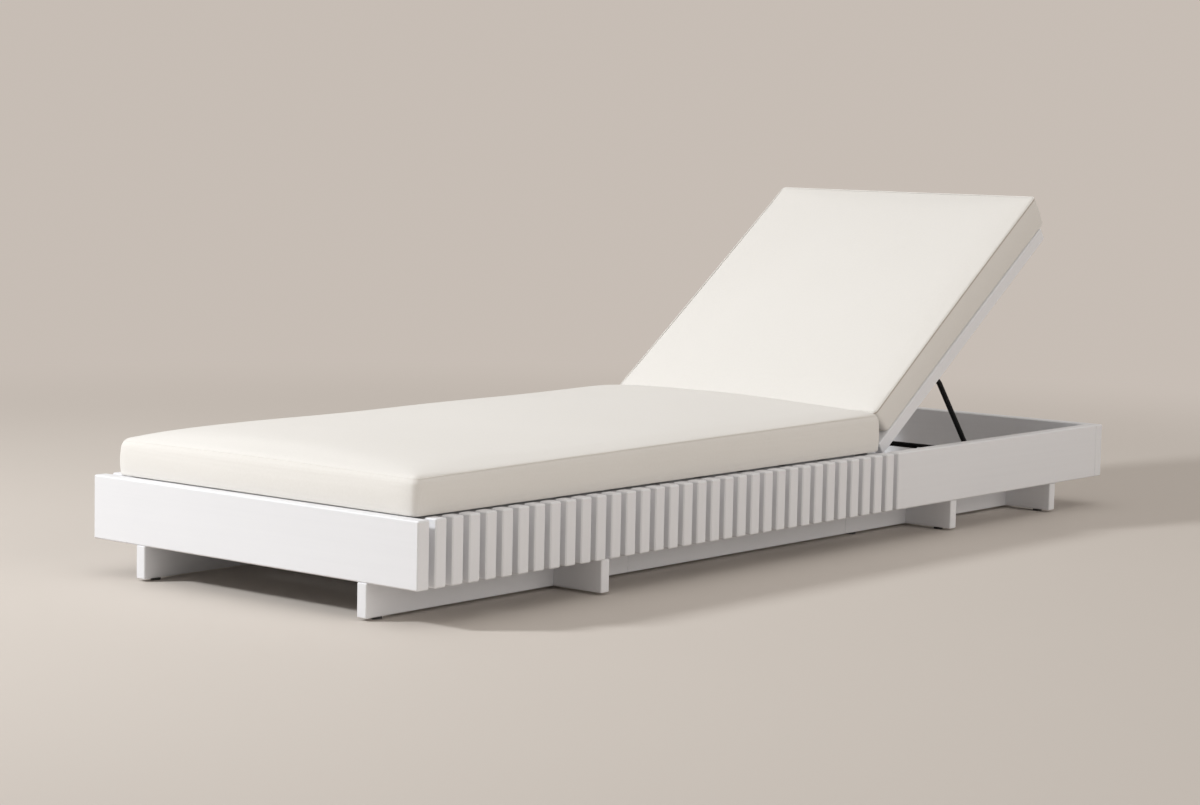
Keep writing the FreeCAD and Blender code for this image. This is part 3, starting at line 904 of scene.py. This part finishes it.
@dataclass
class Studio:
    """Floor, lamps, world and camera. Places are in metres, angles in degrees."""

    floor_colour: tuple[float, float, float] = (0.60, 0.55, 0.50)
    floor_half: float = 60.0
    floor_roughness: float = 0.75
    mottle_scale: float = 0.8
    mottle_share: float = 0.97
    fade_start: float = 1.7
    fade_end: float = 3.6
    backdrop_colour: tuple[float, float, float] = (0.57, 0.51, 0.46)
    fill_colour: tuple[float, float, float] = (1.0, 0.955, 0.915)
    fill_strength: float = 0.315
    suns: tuple[Sun, ...] = (SIDE_SUN, TOP_SUN)
    key_place: tuple[float, float, float] = (-1.75, -3.08, 2.15)
    key_aim: tuple[float, float, float] = (0.0, -0.1, 0.2)
    key_size: float = 0.55
    key_power: float = 104.0
    key_reach: float = 3.55
    key_colour: tuple[float, float, float] = (0.95, 0.975, 1.0)
    camera_place: tuple[float, float, float] = (3.0717, -3.9270, 0.7396)
    camera_pitch: float = 84.2513
    camera_yaw: float = 39.1556
    camera_roll: float = 1.2135
    camera_lens: float = 83.6044
    sensor: float = 36.0

    def floor(self) -> None:
        """Lays a plain pale floor with a faint mottle, which fades into the backdrop far from the object."""
        half = self.floor_half
        corners = np.array([[-half, -half, 0.0], [half, -half, 0.0], [half, half, 0.0], [-half, half, 0.0]])
        floor = surface_mesh("floor", corners, np.array([[0, 1, 2, 3]]))
        graph = ShaderGraph("floor_plain")
        mottle = graph.noise(graph.coordinates(0.0, PLAIN), self.mottle_scale)
        darker = tuple(self.mottle_share * value for value in self.floor_colour)
        colour = graph.blend(mottle, self.floor_colour, darker)
        graph.surface(Base_Color=colour, Roughness=self.floor_roughness)
        place = graph.add("ShaderNodeTexCoord").outputs["Object"]
        away = graph.add("ShaderNodeVectorMath", {0: place}, operation="LENGTH").outputs["Value"]
        reach = {"Value": away, "From Min": self.fade_start, "From Max": self.fade_end}
        share = graph.add("ShaderNodeMapRange", reach, interpolation_type="SMOOTHSTEP").outputs[0]
        share = graph.math("MULTIPLY", share, self.seen_rays(graph.tree))
        glow = graph.add("ShaderNodeEmission", {"Color": (*self.backdrop_colour, 1.0)})
        mixed = graph.add("ShaderNodeMixShader", {0: share, 1: graph.shader.outputs[0], 2: glow.outputs[0]})
        output = next(n for n in graph.tree.nodes if n.type == "OUTPUT_MATERIAL")
        graph.feed(output, "Surface", mixed.outputs[0])
        dress(floor, graph.material)

    def key(self) -> None:
        """Stands the key lamp, a soft box by the foot end on the far side.

        Its light fades in proportion to the distance, and has its set power at key_reach.
        """
        lamp = bpy.data.lights.new("key", "AREA")
        lamp.shape = "DISK"
        lamp.size = self.key_size
        lamp.energy = self.key_power
        lamp.color = self.key_colour
        lamp.use_nodes = True
        tree = lamp.node_tree
        fade = tree.nodes.new("ShaderNodeLightFalloff")
        fade.inputs["Strength"].default_value = 1.0 / self.key_reach
        glow = next(n for n in tree.nodes if n.type == "EMISSION")
        tree.links.new(fade.outputs["Linear"], glow.inputs["Strength"])
        box = bpy.data.objects.new("key", lamp)
        box.location = self.key_place
        box.rotation_euler = facing(Vector(self.key_aim) - Vector(self.key_place))
        box.visible_camera = False
        bpy.context.scene.collection.objects.link(box)

    def lamp(self, sun: Sun) -> None:
        """Hangs one far lamp.

        Args:
            sun: the lamp's setting.
        """
        lamp = bpy.data.lights.new(sun.name, "SUN")
        lamp.energy = sun.strength
        lamp.angle = math.radians(sun.spread)
        lamp.color = sun.colour
        hung = bpy.data.objects.new(sun.name, lamp)
        hung.rotation_euler = facing(Vector(sun.way))
        bpy.context.scene.collection.objects.link(hung)

    def seen_rays(self, tree: bpy.types.NodeTree) -> bpy.types.NodeSocket:
        """An output that is 1 for rays of the camera and of clear reflections, and 0 for the light's own.

        Args:
            tree: the node tree to add to.

        Returns:
            The output socket.
        """
        rays = tree.nodes.new("ShaderNodeLightPath")
        seen = rays.outputs["Is Camera Ray"]
        for name in ("Is Glossy Ray", "Is Transmission Ray"):
            either = tree.nodes.new("ShaderNodeMath")
            either.operation = "MAXIMUM"
            tree.links.new(seen, either.inputs[0])
            tree.links.new(rays.outputs[name], either.inputs[1])
            seen = either.outputs[0]
        return seen

    def world(self) -> None:
        """Fills the shade evenly, and shows a plain pale backdrop to the camera and in reflections."""
        world = bpy.data.worlds.new("soft_room")
        world.use_nodes = True
        tree = world.node_tree
        fill = next(n for n in tree.nodes if n.type == "BACKGROUND")
        fill.inputs["Color"].default_value = (*self.fill_colour, 1.0)
        fill.inputs["Strength"].default_value = self.fill_strength
        backdrop = tree.nodes.new("ShaderNodeBackground")
        backdrop.inputs["Color"].default_value = (*self.backdrop_colour, 1.0)
        choose = tree.nodes.new("ShaderNodeMixShader")
        tree.links.new(self.seen_rays(tree), choose.inputs[0])
        tree.links.new(fill.outputs[0], choose.inputs[1])
        tree.links.new(backdrop.outputs[0], choose.inputs[2])
        output = next(n for n in tree.nodes if n.type == "OUTPUT_WORLD")
        tree.links.new(choose.outputs[0], output.inputs["Surface"])
        bpy.context.scene.world = world

    def camera(self) -> None:
        """Sets the camera at the photograph's viewing angle."""
        lens = bpy.data.cameras.new("camera")
        lens.lens = self.camera_lens
        lens.sensor_width = self.sensor
        camera = bpy.data.objects.new("camera", lens)
        yaw = Matrix.Rotation(math.radians(self.camera_yaw), 4, "Z")
        pitch = Matrix.Rotation(math.radians(self.camera_pitch), 4, "X")
        roll = Matrix.Rotation(math.radians(self.camera_roll), 4, "Z")
        camera.matrix_world = Matrix.Translation(self.camera_place) @ yaw @ pitch @ roll
        bpy.context.scene.collection.objects.link(camera)
        bpy.context.scene.camera = camera

    def build(self) -> None:
        """Builds the studio round the object."""
        self.floor()
        self.key()
        for sun in self.suns:
            self.lamp(sun)
        self.world()
        self.camera()
        bpy.context.scene.view_settings.view_transform = "Standard"


def main() -> None:
    """Loads the construction, dresses it, adds the cushions and sets the studio."""
    logging.basicConfig(level=logging.INFO, format="%(message)s")
    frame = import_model()
    nodes = frame["nodes"]
    slots = {row["node"]: row["material_slot"] for row in frame["record"]["subparts"]}
    recline = next(joint for joint in frame["joints"] if joint["name"] == "back_recline")
    tilt = -math.radians(recline["range_deg"][0])
    hinge = Matrix.Translation(recline["pos_m"])
    raised = hinge @ Matrix.Rotation(tilt, 4, "X") @ hinge.inverted()
    Joinery(tilt).dress(nodes, [name for name, slot in slots.items() if slot == "painted_wood"])
    Hardware().dress(nodes, slots)
    canvas = Canvas()
    seat = Cushion(
        "seat_pad",
        "seat_cushion",
        "base",
        Matrix.Identity(4),
        turn=0.0,
        foot_reach=0.009,
        head_reach=-0.002,
        crown=0.019,
        end_seam=0.1,
    )
    seat.assemble(nodes, canvas)
    back = Cushion(
        "back_pad",
        "back_cushion",
        "back",
        raised,
        turn=tilt,
        lean=0.013,
        head_reach=0.008,
        corner_radius=0.009,
        top_radius=0.008,
        seam_angle=math.radians(40.0),
        crown_power=2.0,
        right_power=2.0,
        end_power=4,
        welt_radius=0.0012,
        welt_lift=0.0002,
        pinch=0.0015,
        seam_rows=2,
        seam_shade_share=0.7,
    )
    back.assemble(nodes, canvas)
    Studio().build()


if __name__ == "__main__":
    main()
